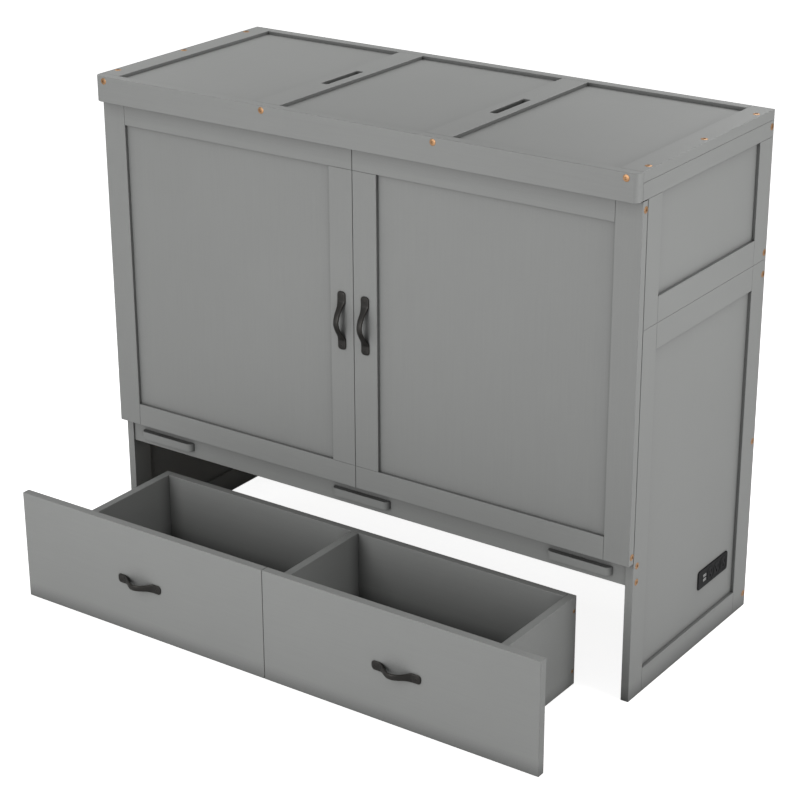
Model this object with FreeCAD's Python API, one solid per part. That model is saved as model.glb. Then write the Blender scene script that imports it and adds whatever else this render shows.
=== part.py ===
import FreeCAD, Part
import math
import os
from FreeCAD import Vector

# A cabinet bed: a framed chest that holds a folded mattress. Its whole front folds down to
# lengthen the deck, its hood lifts off and stands on the floor as the foot of the deck, and
# a wide two-bay drawer rolls out underneath on four casters.
#
# Millimetres, +Z up, +X to the right seen from the front, +Y towards the back. The origin is
# on the floor, in the middle of the object's outline with the drawer pulled out.

# Overall sizes. Depth runs from the front panel's face to the back.
cabinet_width = 1473.0
cabinet_depth = 596.0
cabinet_height = 1244.0
split_height = 892.0
deck_height = 347.0

# Boards and the thin panels that are let into grooves between them.
board_thick = 20.0
board_ease = 0.8
infill_thick = 6.0
infill_recess = 8.0
tongue_depth = 8.0
groove_clear = 0.2

# Side frames.
side_front_stile = 60.0
side_back_stile = 64.0
side_rail = 60.0

# Lid: a fascia in front and a frame of flat boards round three sunk panels.
fascia_height = 63.0
fascia_thick = 23.0
fascia_overhang = 25.4
fascia_corner = 15.0
lid_thick = 24.0
lid_end_stile = 56.0
lid_mullion = 69.0
lid_mullion_centre = 234.0
lid_back_rail = 26.0
lid_recess = 8.5
lid_bearer_width = 40.0
lid_bearer_height = 30.0
lid_bearer_offset = 140.0
lid_bolt_inset = 14.5
lid_bolt_middle = 286.0
hand_slot_length = 146.0
hand_slot_width = 20.0
hand_slot_corner = 6.0

# Front panel, in two framed halves that are joined at a seam in the middle.
panel_thick = 20.0
panel_gap = 2.0
panel_top_gap = 1.5
panel_bottom_gap = 1.0
door_stile = 65.0
door_top_rail = 54.5
door_bottom_rail = 56.5
door_seam = 1.0
door_handle_inset = 33.0
door_handle_height = 762.0
joining_plate_length = 120.0
joining_plate_height = 30.0
joining_plate_thick = 2.0
joining_plate_count = 3

# Apron under the front panel, with three blocks that the folded panel comes down on.
apron_thick = 22.0
apron_height = 60.5
apron_set_back = 4.5
block_length = 164.0
block_thick = 20.0
block_reach = 15.0
block_side_gap = 34.5
block_corner = 14.0
block_clear = 2.5

# Butt hinges between the apron and the front panel.
hinge_offset = 0.6
knuckle_radius = 3.5
hinge_pin_radius = 1.6
hinge_pin_clear = 0.05
hinge_length = 70.0
hinge_leaf_height = 34.0
hinge_leaf_thick = 1.5
hinge_leaf_margin = 2.0
hinge_gain_clear = 0.4
knuckle_count = 3
knuckle_gap = 0.3

# Deck inside the cabinet.
slat_count = 10
slat_width = 95.0
slat_thick = 18.0
slat_end_gap = 1.0
ledger_width = 22.0
ledger_height = 30.0

# Back: three rails, with a mullion and two thin panels in each bay.
back_rail = 70.0
back_middle_rail_centre = 439.0
back_mullion = 70.0
hood_back_rail = 35.0

# Dowels that locate the hood, and the magnet catches that hold the front panel shut.
dowel_radius = 5.0
dowel_depth = 20.0
dowel_clear = 0.5
catch_length = 46.0
catch_width = 14.0
catch_depth = 16.0
catch_drop = 40.0
strike_thick = 1.5

# Drawer, standing open by drawer_open.
drawer_open = 362.0
drawer_close_gap = 1.0
drawer_front_thick = 21.0
drawer_front_bottom = 2.5
drawer_front_top = 281.0
drawer_front_seam = 1.0
drawer_handle_offset = 370.0
drawer_handle_height = 139.0
box_width = 1200.0
box_depth = 355.0
box_bottom = 8.5
box_top = 234.0
box_wall = 20.0
bottom_thick = 6.0
bearer_thick = 12.0
bearer_width = 70.0

# Casters under the drawer.
wheel_radius = 16.0
wheel_width = 14.0
wheel_ease = 1.5
wheel_gap = 1.0
caster_headroom = 3.5
caster_inset = 60.0
axle_radius = 3.0
axle_clear = 0.05
bracket_sheet = 2.0
bracket_length = 44.0
bracket_flange = 10.0
bracket_cheek = 22.0

# Bow handles, alike on the front panel and the drawer.
door_handle_length = 142.0
drawer_handle_length = 131.0
handle_foot_length = 22.0
handle_foot_width = 22.0
handle_foot_corner = 8.0
handle_foot_thick = 3.5
handle_reach = 27.0
handle_taper = 18.0
handle_bar_thick = 5.5
handle_bar_ends = 15.0
handle_bar_middle = 14.0
handle_fullness = 1.3
handle_line_points = 11
handle_edge_points = 19

# Bolts with round heads, and the drawer's smaller screws.
bolt_head_radius = 8.0
bolt_head_height = 1.2
bolt_shank_radius = 3.0
bolt_length = 50.0
bolt_socket_radius = 3.0
bolt_socket_depth = 0.9
bolt_clear = 0.1
apron_bolt_spacing = 40.0
door_bolt_drop = 19.5
door_bolt_depth = 12.0
door_bolt_length = 95.0
screw_scale = 0.6
screw_drop = 36.0

# Socket unit in the right-hand side: three outlets and two charging ports.
socket_length = 147.0
socket_height = 48.0
socket_corner = 7.0
socket_plate_thick = 3.0
socket_rim = 6.0
socket_depth = 40.0
socket_middle_y = 425.5
socket_middle_z = 162.0
outlet_count = 3
outlet_pitch = 33.0
outlet_shift = 19.0
outlet_slot_gap = 12.7
outlet_slot_height = 8.0
outlet_slot_width = 2.2
outlet_pin_radius = 2.4
outlet_pin_drop = 10.0
port_width = 14.0
port_height = 7.0
port_pitch = 11.0
port_shift = 42.0
port_wall = 1.0
port_tongue = 1.8
port_depth = 9.0
gland_radius = 6.0
gland_length = 12.0

# Places that follow from the sizes above.
half_width = cabinet_width / 2
side_inner = half_width - board_thick
side_edge_depth = panel_thick + panel_gap
drawer_face_depth = side_edge_depth - drawer_close_gap - drawer_front_thick - drawer_open
front_most = min(drawer_face_depth - handle_reach, -fascia_overhang)
front_y = -(front_most + cabinet_depth) / 2
back_y = front_y + cabinet_depth
side_front_y = front_y + side_edge_depth
side_field_front = side_front_y + side_front_stile
side_field_back = back_y - side_back_stile
back_inner_y = back_y - board_thick

lid_underside = cabinet_height - lid_thick
hood_top = cabinet_height - fascia_height
fascia_back_y = front_y - fascia_overhang + fascia_thick
lid_field_back = back_y - lid_back_rail

panel_back_y = front_y + panel_thick
panel_bottom = deck_height + panel_bottom_gap
panel_top = hood_top - panel_top_gap
hinge_y = panel_back_y + hinge_offset
hinge_z = deck_height + hinge_offset

apron_y = side_front_y + apron_set_back
apron_back_y = apron_y + apron_thick
apron_bottom = deck_height - apron_height
apron_middle = deck_height - apron_height / 2
apron_leaf_end = apron_back_y - hinge_leaf_margin
block_offset = side_inner - block_side_gap - block_length / 2
block_middles = (-block_offset, 0, block_offset)

drawer_face_y = front_y + drawer_face_depth
box_front_y = drawer_face_y + drawer_front_thick
box_back_y = box_front_y + box_depth
box_half = box_width / 2
box_inner = box_half - box_wall
caster_top = 2 * wheel_radius + caster_headroom + bracket_sheet
box_floor = caster_top + bearer_thick
caster_x = box_inner - caster_inset
bearer_front_y = box_front_y + box_wall + bearer_width / 2
bearer_back_y = box_back_y - box_wall - bearer_width / 2

both_sides = (-1, 1)


# Shapes used all over.

def box(x, y, z):
    """A plain block; each of x, y and z is a (low, high) pair."""
    return Part.makeBox(x[1] - x[0], y[1] - y[0], z[1] - z[0], Vector(x[0], y[0], z[0]))


def board(x, y, z):
    """A board with all its edges eased."""
    blank = box(x, y, z)
    return blank.makeChamfer(board_ease, blank.Edges)


def outward(side, inner, outer):
    """The x range between two distances from the middle, on the left or right side."""
    return (inner, outer) if side > 0 else (-outer, -inner)


def around(middle, length):
    """A range of the given length about its middle."""
    return (middle - length / 2, middle + length / 2)


def grown(pair, margin):
    """A range made longer by a margin at both ends."""
    return (pair[0] - margin, pair[1] + margin)


def groove(x, y, z):
    """The room that a thin panel's edge needs in the boards round it."""
    return box(grown(x, groove_clear), grown(y, groove_clear), grown(z, groove_clear))


def cut_by(solid, cutters):
    """The solid without the cutters that reach it."""
    for cutter in cutters:
        if solid.BoundBox.intersect(cutter.BoundBox):
            solid = solid.cut(cutter)
    return solid.Solids[0]


def rod(radius, start, direction, length):
    """A round bar from its starting point."""
    return Part.makeCylinder(radius, length, start, direction)


# Bolts. Each is stated as a point on the outer face, the way its head faces and its length.

def bolt(point, facing, length, scale=1.0):
    """A round-headed bolt with a hexagon socket."""
    head_height = bolt_head_height * scale
    head = rod(bolt_head_radius * scale, point, facing, head_height)
    rim = [edge for edge in head.Edges if edge.Closed
           and edge.CenterOfMass.distanceToPoint(point) > head_height / 2]
    head = head.makeChamfer(head_height / 2, rim)
    shank = rod(bolt_shank_radius * scale, point, facing * -1, length)
    socket_mouth = point + facing * head_height
    socket = rod(bolt_socket_radius * scale, socket_mouth, facing * -1, bolt_socket_depth * scale)
    return head.fuse(shank).cut(socket).removeSplitter().Solids[0]


def bolt_hole(point, facing, length, scale=1.0):
    """The hole that a bolt goes in."""
    radius = bolt_shank_radius * scale + bolt_clear
    return rod(radius, point, facing * -1, length + bolt_clear)


def side_bolts(y, z, length=bolt_length):
    """A bolt through each side of the cabinet at the same height and depth."""
    return [(Vector(side * half_width, y, z), Vector(side, 0, 0), length) for side in both_sides]


back_bolt_y = back_y - board_thick / 2
lower_rail_middles = (back_rail / 2, back_middle_rail_centre, split_height - back_rail / 2)
cabinet_bolt_places = []
for rail_middle in lower_rail_middles:
    cabinet_bolt_places += side_bolts(back_bolt_y, rail_middle)
for offset in (-apron_bolt_spacing / 2, apron_bolt_spacing / 2):
    cabinet_bolt_places += side_bolts(apron_y + apron_thick / 2, apron_middle + offset)

hood_bolt_places = side_bolts(back_bolt_y, split_height + hood_back_rail / 2)
hood_bolt_places += side_bolts(back_bolt_y, lid_underside - lid_bearer_height / 2)
for side in both_sides:
    for across in (half_width - lid_end_stile / 2, lid_mullion_centre):
        place = Vector(side * across, front_y - fascia_overhang, cabinet_height - lid_thick / 2)
        hood_bolt_places.append((place, Vector(0, -1, 0), bolt_length))
    for along in (side_front_y + board_thick, front_y + lid_bolt_middle, side_field_back):
        place = Vector(side * (half_width - lid_bolt_inset), along, cabinet_height)
        hood_bolt_places.append((place, Vector(0, 0, 1), bolt_length))

door_bolt_places = []
for height in (panel_bottom + door_bolt_drop, panel_top - door_bolt_drop):
    door_bolt_places += side_bolts(front_y + door_bolt_depth, height, door_bolt_length)

drawer_screw_places = []
for side in both_sides:
    for height in (box_bottom + screw_drop, box_top - screw_drop):
        place = Vector(side * box_half, box_back_y - box_wall / 2, height)
        drawer_screw_places.append((place, Vector(side, 0, 0), bolt_length * screw_scale, screw_scale))

cabinet_holes = [bolt_hole(*place) for place in cabinet_bolt_places]
hood_holes = [bolt_hole(*place) for place in hood_bolt_places]
door_holes = [bolt_hole(*place) for place in door_bolt_places]
drawer_holes = [bolt_hole(*place) for place in drawer_screw_places]


# Dowels stand in the tops of the lower stiles and reach up into the hood's stiles.

dowel_places = [Vector(side * (half_width - board_thick / 2), y, split_height)
                for side in both_sides
                for y in (side_front_y + side_front_stile / 2, back_y - side_back_stile / 2)]


def dowel(place):
    """A plain pin, half of it below the split."""
    return rod(dowel_radius, place - Vector(0, 0, dowel_depth), Vector(0, 0, 1), 2 * dowel_depth)


def dowel_socket(place, clearance):
    """The hole for a dowel on both sides of the split."""
    start = place - Vector(0, 0, dowel_depth + clearance)
    return rod(dowel_radius + clearance, start, Vector(0, 0, 1), 2 * (dowel_depth + clearance))


# Lower cabinet: two side frames and the back.

def infill_x(side):
    """The x range of a side's thin panel."""
    return outward(side, half_width - infill_recess - infill_thick, half_width - infill_recess)


side_infill_y = grown((side_field_front, side_field_back), tongue_depth)
side_infill_z = (side_rail - tongue_depth, split_height - side_rail + tongue_depth)
back_infill_y = around(back_y - board_thick / 2, infill_thick)
back_bay_heights = ((lower_rail_middles[0] + back_rail / 2, lower_rail_middles[1] - back_rail / 2),
                    (lower_rail_middles[1] + back_rail / 2, lower_rail_middles[2] - back_rail / 2))


def back_infill_x(side):
    """The x range of a thin panel in the back, from the mullion to the side."""
    return outward(side, back_mullion / 2 - tongue_depth, side_inner + tongue_depth)


def socket_window(margin):
    """The opening in the right-hand panel that the socket unit goes through."""
    return box((side_inner, half_width),
               around(front_y + socket_middle_y, socket_length - 2 * socket_rim + 2 * margin),
               around(socket_middle_z, socket_height - 2 * socket_rim + 2 * margin))


def cabinet_frames():
    """Stiles, rails and thin panels of the two lower sides."""
    grooves = [groove(infill_x(side), side_infill_y, side_infill_z) for side in both_sides]
    grooves += [groove(back_infill_x(side), back_infill_y, grown(bay, tongue_depth))
                for side in both_sides for bay in back_bay_heights]
    sockets = [dowel_socket(place, bolt_clear) for place in dowel_places]
    cutters = grooves + sockets + cabinet_holes
    parts = {"side_front_stiles": [], "side_back_stiles": [], "side_rails": []}
    for side in both_sides:
        x = outward(side, side_inner, half_width)
        front_stile = board(x, (side_front_y, side_field_front), (0, split_height))
        back_stile = board(x, (side_field_back, back_y), (0, split_height))
        parts["side_front_stiles"].append(cut_by(front_stile, cutters))
        parts["side_back_stiles"].append(cut_by(back_stile, cutters))
        for z in ((0, side_rail), (split_height - side_rail, split_height)):
            rail = board(x, (side_field_front, side_field_back), z)
            parts["side_rails"].append(cut_by(rail, cutters))
    parts["side_panel_left"] = [box(infill_x(-1), side_infill_y, side_infill_z)]
    right_panel = box(infill_x(1), side_infill_y, side_infill_z)
    parts["side_panel_right"] = [cut_by(right_panel, [socket_window(groove_clear)])]
    return parts


def cabinet_back():
    """Rails, mullions and thin panels of the lower back."""
    y = (back_inner_y, back_y)
    across = (-side_inner, side_inner)
    panels = [(back_infill_x(side), back_infill_y, grown(bay, tongue_depth))
              for side in both_sides for bay in back_bay_heights]
    cutters = [groove(*panel) for panel in panels] + cabinet_holes
    rails = [board(across, y, around(middle, back_rail)) for middle in lower_rail_middles]
    mullions = [board(around(0, back_mullion), y, bay) for bay in back_bay_heights]
    return {"back_rails": [cut_by(rail, cutters) for rail in rails],
            "back_mullions": [cut_by(mullion, cutters) for mullion in mullions],
            "back_panels": [box(*panel) for panel in panels]}


# Apron, its blocks, and the deck of slats on two ledgers.

def support_block(middle_x):
    """A block on the apron's face, with rounded front corners."""
    top = deck_height - panel_thick - block_clear
    x = around(middle_x, block_length)
    block = box(x, (apron_y - block_reach, apron_y), (top - block_thick, top))
    corners = [edge for edge in block.Edges
               if edge.BoundBox.ZLength > 0 and edge.CenterOfMass.y < apron_y - block_reach / 2]
    block = block.makeFillet(block_corner, corners)
    front_rims = [edge for edge in block.Edges
                  if edge.BoundBox.ZLength == 0 and edge.CenterOfMass.y < apron_y - block_reach / 2]
    return block.makeChamfer(board_ease, front_rims)


def apron_and_deck():
    """The apron with its blocks, the two ledgers and the slats."""
    across = (-side_inner, side_inner)
    apron = board(across, (apron_y, apron_back_y), (apron_bottom, deck_height))
    slat_bottom = deck_height - slat_thick
    ledger_z = (slat_bottom - ledger_height, slat_bottom)
    front_ledger = board(across, (apron_back_y, apron_back_y + ledger_width), ledger_z)
    back_ledger = board(across, (back_inner_y - ledger_width, back_inner_y), ledger_z)
    pitch = 2 * side_inner / slat_count
    slat_y = (apron_back_y + slat_end_gap, back_inner_y - slat_end_gap)
    slats = []
    for index in range(slat_count):
        middle = -side_inner + pitch * (index + 0.5)
        slats.append(board(around(middle, slat_width), slat_y, (slat_bottom, deck_height)))
    blocks = [support_block(middle) for middle in block_middles]
    return {"apron": [cut_by(apron, hinge_gains_in_apron() + cabinet_holes)],
            "support_blocks": blocks,
            "deck_ledgers": [front_ledger, back_ledger],
            "deck_slats": slats}


# Hinges, one over each block: the panel's leaf has the middle knuckle, the apron's leaf the
# two outer ones.

knuckle_pitch = (hinge_length + knuckle_gap) / knuckle_count
knuckle_length = knuckle_pitch - knuckle_gap


def hinge_barrel(start_x, length, radius):
    """A length of the hinge line."""
    return rod(radius, Vector(start_x, hinge_y, hinge_z), Vector(1, 0, 0), length)


def hinge_gains_in_apron():
    """Shallow recesses in the apron's top for the leaves."""
    x_margin = hinge_length / 2 + groove_clear
    z = (deck_height - hinge_leaf_thick, deck_height + hinge_leaf_thick)
    y = (apron_y - apron_thick, apron_leaf_end + groove_clear)
    return [box((middle - x_margin, middle + x_margin), y, z) for middle in block_middles]


def hinge_gains_in_panel():
    """Room in the front panel's lower edge for the knuckles and leaves."""
    gains = []
    leaf_y = around(panel_back_y, 2 * hinge_leaf_thick)
    leaf_z = (panel_bottom - knuckle_radius, hinge_z + hinge_leaf_height + groove_clear)
    for middle in block_middles:
        x = around(middle, hinge_length + 2 * hinge_gain_clear)
        gains.append(hinge_barrel(x[0], x[1] - x[0], knuckle_radius + hinge_gain_clear))
        gains.append(box(x, leaf_y, leaf_z))
    return gains


def knuckle(hinge_start, index, clearance=0.0):
    """One knuckle of a hinge, counted from its left end, or the room that it needs."""
    start = hinge_start + index * knuckle_pitch - clearance
    return hinge_barrel(start, knuckle_length + 2 * clearance, knuckle_radius + clearance)


def hinge_leaf(blank, hinge_start, own, others):
    """A leaf with its own knuckles rolled on, and room for those of the other leaf."""
    room = [knuckle(hinge_start, index, knuckle_gap) for index in others]
    knuckles = [knuckle(hinge_start, index) for index in own]
    bore = hinge_barrel(hinge_start, hinge_length, hinge_pin_radius + hinge_pin_clear)
    return blank.cut(room).fuse(knuckles).cut(bore).removeSplitter().Solids[0]


def hinges():
    """Leaves and pins of the three hinges."""
    apron_knuckles = range(0, knuckle_count, 2)
    panel_knuckles = range(1, knuckle_count, 2)
    parts = {"panel_hinge_leaves": [], "apron_hinge_leaves": [], "hinge_pins": []}
    for middle in block_middles:
        x = around(middle, hinge_length)
        upright = box(x, (panel_back_y - hinge_leaf_thick, panel_back_y),
                      (hinge_z, hinge_z + hinge_leaf_height))
        level = box(x, (hinge_y, apron_leaf_end), (deck_height - hinge_leaf_thick, deck_height))
        parts["panel_hinge_leaves"].append(hinge_leaf(upright, x[0], panel_knuckles, apron_knuckles))
        parts["apron_hinge_leaves"].append(hinge_leaf(level, x[0], apron_knuckles, panel_knuckles))
        parts["hinge_pins"].append(hinge_barrel(x[0], hinge_length, hinge_pin_radius))
    return parts


def catches():
    """Magnet catches inside the lower sides, and the plates that they hold."""
    magnets = []
    strikes = []
    z = around(split_height - side_rail - catch_drop, catch_length)
    for side in both_sides:
        x = outward(side, side_inner - catch_width, side_inner)
        magnets.append(board(x, (side_front_y, side_front_y + catch_depth), z))
        strikes.append(box(x, (panel_back_y, panel_back_y + strike_thick), z))
    return {"magnet_catches": magnets, "strike_plates": strikes}


# Hood: the upper side frames, the upper back and the lid, in one unit that lifts off.

hood_infill_z = (split_height + side_rail - tongue_depth, hood_top + tongue_depth)
hood_bay = (split_height + hood_back_rail, lid_underside - lid_bearer_height)
lid_bay_edges = (-half_width + lid_end_stile,
                 -lid_mullion_centre - lid_mullion / 2, -lid_mullion_centre + lid_mullion / 2,
                 lid_mullion_centre - lid_mullion / 2, lid_mullion_centre + lid_mullion / 2,
                 half_width - lid_end_stile)
lid_bays = [(lid_bay_edges[index], lid_bay_edges[index + 1]) for index in (0, 2, 4)]
lid_field_y = (fascia_back_y, lid_field_back)
lid_panel_z = (lid_underside, cabinet_height - lid_recess)
lid_tongue_z = around((lid_panel_z[0] + lid_panel_z[1]) / 2, infill_thick)


def lid_tongue(bay):
    """The ranges of a lid panel's tongue."""
    return (grown(bay, tongue_depth), grown(lid_field_y, tongue_depth), lid_tongue_z)


def hood_sides():
    """Stiles, rails and thin panels of the hood's two sides."""
    cutters = [groove(infill_x(side), side_infill_y, hood_infill_z) for side in both_sides]
    cutters += [groove(back_infill_x(side), back_infill_y, grown(hood_bay, tongue_depth))
                for side in both_sides]
    cutters += [dowel_socket(place, dowel_clear) for place in dowel_places]
    cutters += hood_holes
    parts = {"hood_stiles": [], "hood_rails": [], "hood_side_panels": []}
    for side in both_sides:
        x = outward(side, side_inner, half_width)
        for y in ((side_front_y, side_field_front), (side_field_back, back_y)):
            stile = board(x, y, (split_height, hood_top))
            parts["hood_stiles"].append(cut_by(stile, cutters))
        rail = board(x, (side_field_front, side_field_back), (split_height, split_height + side_rail))
        parts["hood_rails"].append(cut_by(rail, cutters))
        parts["hood_side_panels"].append(box(infill_x(side), side_infill_y, hood_infill_z))
    return parts


def hood_back():
    """Rail, batten, mullion and thin panels of the hood's back."""
    y = (back_inner_y, back_y)
    across = (-side_inner, side_inner)
    panels = [(back_infill_x(side), back_infill_y, grown(hood_bay, tongue_depth))
              for side in both_sides]
    cutters = [groove(*panel) for panel in panels] + hood_holes
    rail = board(across, y, (split_height, hood_bay[0]))
    batten = board(across, y, (hood_bay[1], lid_underside))
    mullion = board(around(0, back_mullion), y, hood_bay)
    return {"hood_back_rail": [cut_by(rail, cutters)],
            "lid_back_batten": [cut_by(batten, cutters)],
            "hood_back_mullion": [cut_by(mullion, cutters)],
            "hood_back_panels": [box(*panel) for panel in panels]}


def fascia():
    """The board across the front of the lid, with rounded ends."""
    y = (front_y - fascia_overhang, fascia_back_y)
    blank = box((-half_width, half_width), y, (hood_top, cabinet_height))
    corners = [edge for edge in blank.Edges
               if edge.BoundBox.ZLength > 0 and edge.CenterOfMass.y < sum(y) / 2]
    rounded = blank.makeFillet(fascia_corner, corners)
    eased = [edge for edge in rounded.Edges
             if edge.BoundBox.ZLength == 0 or edge.CenterOfMass.y > fascia_back_y - board_ease / 2]
    return rounded.makeChamfer(board_ease, eased)


def hand_slot(middle_x):
    """A round-cornered slot through a mullion, half-way along the lid's depth."""
    middle_y = (front_y - fascia_overhang + back_y) / 2
    slot = box(around(middle_x, hand_slot_width), around(middle_y, hand_slot_length),
               (lid_underside - lid_thick, cabinet_height + lid_thick))
    corners = [edge for edge in slot.Edges if edge.BoundBox.ZLength > 0]
    return slot.makeFillet(hand_slot_corner, corners)


def eased_slot(mullion, middle_x):
    """A mullion with its hand slot cut and the slot's top rim eased."""
    cut = mullion.cut(hand_slot(middle_x)).Solids[0]
    reach = hand_slot_width / 2 + board_ease / 2
    rim = [edge for edge in cut.Edges
           if abs(edge.BoundBox.ZMin - cabinet_height) < board_ease / 2
           and edge.BoundBox.ZLength < board_ease / 2
           and edge.BoundBox.XMin > middle_x - reach and edge.BoundBox.XMax < middle_x + reach]
    return cut.makeChamfer(board_ease, rim).Solids[0]


def lid():
    """Fascia, rails, stiles, mullions, panels and bearers of the lid."""
    cutters = [groove(*lid_tongue(bay)) for bay in lid_bays] + hood_holes
    cutters += [groove(infill_x(side), side_infill_y, hood_infill_z) for side in both_sides]
    cutters += [groove(back_infill_x(side), back_infill_y, grown(hood_bay, tongue_depth))
                for side in both_sides]
    end_stiles = []
    side_rails = []
    mullions = []
    for side in both_sides:
        stile_x = outward(side, half_width - lid_end_stile, half_width)
        stile = board(stile_x, (fascia_back_y, back_y), (lid_underside, cabinet_height))
        end_stiles.append(cut_by(stile, cutters))
        rail = board(outward(side, side_inner, half_width), (fascia_back_y, back_y),
                     (hood_top, lid_underside))
        side_rails.append(cut_by(rail, cutters))
        middle = side * lid_mullion_centre
        mullion = board(around(middle, lid_mullion), lid_field_y, (lid_underside, cabinet_height))
        mullions.append(cut_by(eased_slot(mullion, middle), cutters))
    back_rail_x = (lid_bay_edges[0], lid_bay_edges[-1])
    rear_rail = board(back_rail_x, (lid_field_back, back_y), (lid_underside, cabinet_height))
    panels = []
    for bay in lid_bays:
        field = box(grown(bay, -groove_clear), grown(lid_field_y, -groove_clear), lid_panel_z)
        panels.append(field.fuse(box(*lid_tongue(bay))).removeSplitter().Solids[0])
    bearer_z = (lid_underside - lid_bearer_height, lid_underside)
    lid_middle_y = (front_y + back_y) / 2
    bearers = [board((-side_inner, side_inner), around(middle, lid_bearer_width), bearer_z)
               for middle in around(lid_middle_y, 2 * lid_bearer_offset)]
    return {"lid_fascia": [cut_by(fascia(), cutters)],
            "lid_side_rails": side_rails,
            "lid_end_stiles": end_stiles,
            "lid_mullions": mullions,
            "lid_back_rail": [cut_by(rear_rail, cutters)],
            "lid_panels": panels,
            "lid_bearers": bearers}


# Front panel.

door_field_z = (panel_bottom + door_bottom_rail, panel_top - door_top_rail)
door_tongue_y = (front_y + infill_recess, front_y + infill_recess + infill_thick)


def door_field_x(side):
    """The x range between a half's centre stile and its outer stile."""
    return outward(side, door_seam / 2 + door_stile, half_width - door_stile)


def door_tongue(side):
    """The ranges of a front panel field's tongue."""
    return (grown(door_field_x(side), tongue_depth), door_tongue_y,
            grown(door_field_z, tongue_depth))


def joining_plate(middle_z, clearance):
    """A steel plate let into the back of both centre stiles."""
    return box(around(0, joining_plate_length + 2 * clearance),
               (panel_back_y - joining_plate_thick - clearance, panel_back_y + clearance),
               around(middle_z, joining_plate_height + 2 * clearance))


def joining_heights():
    """Heights of the joining plates, evenly spaced between the rails."""
    pitch = (door_field_z[1] - door_field_z[0]) / joining_plate_count
    return [door_field_z[0] + pitch * (index + 0.5) for index in range(joining_plate_count)]


def front_panel():
    """Two framed halves, joined by plates on the back."""
    cutters = [groove(*door_tongue(side)) for side in both_sides] + door_holes
    cutters += hinge_gains_in_panel()
    cutters += [joining_plate(z, groove_clear) for z in joining_heights()]
    y = (front_y, panel_back_y)
    names = ("door_outer_stiles", "door_centre_stiles", "door_top_rails", "door_bottom_rails")
    parts = {name: [] for name in names}
    parts["door_panels"] = []
    for side in both_sides:
        outer_x = outward(side, half_width - door_stile, half_width)
        rail_x = outward(side, door_seam / 2, half_width - door_stile)
        centre_x = outward(side, door_seam / 2, door_seam / 2 + door_stile)
        boards = (board(outer_x, y, (panel_bottom, panel_top)),
                  board(centre_x, y, door_field_z),
                  board(rail_x, y, (door_field_z[1], panel_top)),
                  board(rail_x, y, (panel_bottom, door_field_z[0])))
        for name, blank in zip(names, boards):
            parts[name].append(cut_by(blank, cutters))
        field = box(grown(door_field_x(side), -groove_clear),
                    (front_y + infill_recess, panel_back_y),
                    grown(door_field_z, -groove_clear))
        field = field.fuse(box(*door_tongue(side))).removeSplitter().Solids[0]
        parts["door_panels"].append(field)
    parts["joining_plates"] = [joining_plate(z, 0) for z in joining_heights()]
    return parts


# Bow handles: a side profile cut to an outline that widens into a flat foot at each end.

def spline_edge(points):
    """A smooth edge through the points."""
    curve = Part.BSplineCurve()
    curve.interpolate(points)
    return curve.toShape()


def bow_line(half_span, foot_depth, crest_depth):
    """Points along one side of the bar, which leaves the feet and reaches its crest smoothly."""
    points = []
    for index in range(handle_line_points):
        share = 2 * index / (handle_line_points - 1) - 1
        rise = abs(math.cos(math.pi * share / 2)) ** handle_fullness
        depth = foot_depth + (crest_depth - foot_depth) * rise
        points.append(Vector(half_span * share, -depth, 0))
    return points


def bow_profile(length):
    """The handle seen from its side, as wide as its feet."""
    end = length / 2
    foot = end - handle_foot_length
    outer = bow_line(foot, handle_foot_thick, handle_reach)
    inner = bow_line(foot - handle_bar_thick, 0, handle_reach - handle_bar_thick)
    foot_corners = [Vector(end, -handle_foot_thick, 0), Vector(end, 0, 0)]
    far_corners = [Vector(-end, 0, 0), Vector(-end, -handle_foot_thick, 0)]
    wire = Part.Wire([spline_edge(outer),
                      Part.makeLine(outer[-1], foot_corners[0]),
                      Part.makeLine(foot_corners[0], foot_corners[1]),
                      Part.makeLine(foot_corners[1], inner[-1]),
                      spline_edge(inner[::-1]),
                      Part.makeLine(inner[0], far_corners[0]),
                      Part.makeLine(far_corners[0], far_corners[1]),
                      Part.makeLine(far_corners[1], outer[0])])
    profile = Part.Face(wire).extrude(Vector(0, 0, handle_foot_width))
    profile.translate(Vector(0, 0, -handle_foot_width / 2))
    return profile


def bow_half_width(x, length):
    """Half the handle's width: a bar that is narrowest in the middle and widens into the feet."""
    bar_end = length / 2 - handle_foot_length - handle_taper
    bar = handle_bar_middle + (handle_bar_ends - handle_bar_middle) * min(1, (x / bar_end) ** 2)
    share = min(1, max(0, (abs(x) - bar_end) / handle_taper))
    smooth = share * share * (3 - 2 * share)
    return (bar + (handle_foot_width - bar) * smooth) / 2


def bow_outline(length):
    """The handle seen from the front, with the corners of its feet rounded."""
    places = [length * (index / (handle_edge_points - 1) - 0.5) for index in range(handle_edge_points)]
    upper = [Vector(x, 0, bow_half_width(x, length)) for x in places]
    lower = [Vector(point.x, 0, -point.z) for point in reversed(upper)]
    wire = Part.Wire([spline_edge(upper), Part.makeLine(upper[-1], lower[0]),
                      spline_edge(lower), Part.makeLine(lower[-1], upper[0])])
    outline = Part.Face(wire).extrude(Vector(0, -handle_reach, 0))
    corners = [edge for edge in outline.Edges
               if edge.BoundBox.YLength > handle_reach / 2 and edge.BoundBox.XLength < groove_clear]
    return outline.makeFillet(handle_foot_corner, corners)


def bow_handle(length):
    """A handle lying along X on the plane y = 0, reaching towards -Y."""
    return bow_profile(length).common(bow_outline(length)).removeSplitter().Solids[0]


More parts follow.
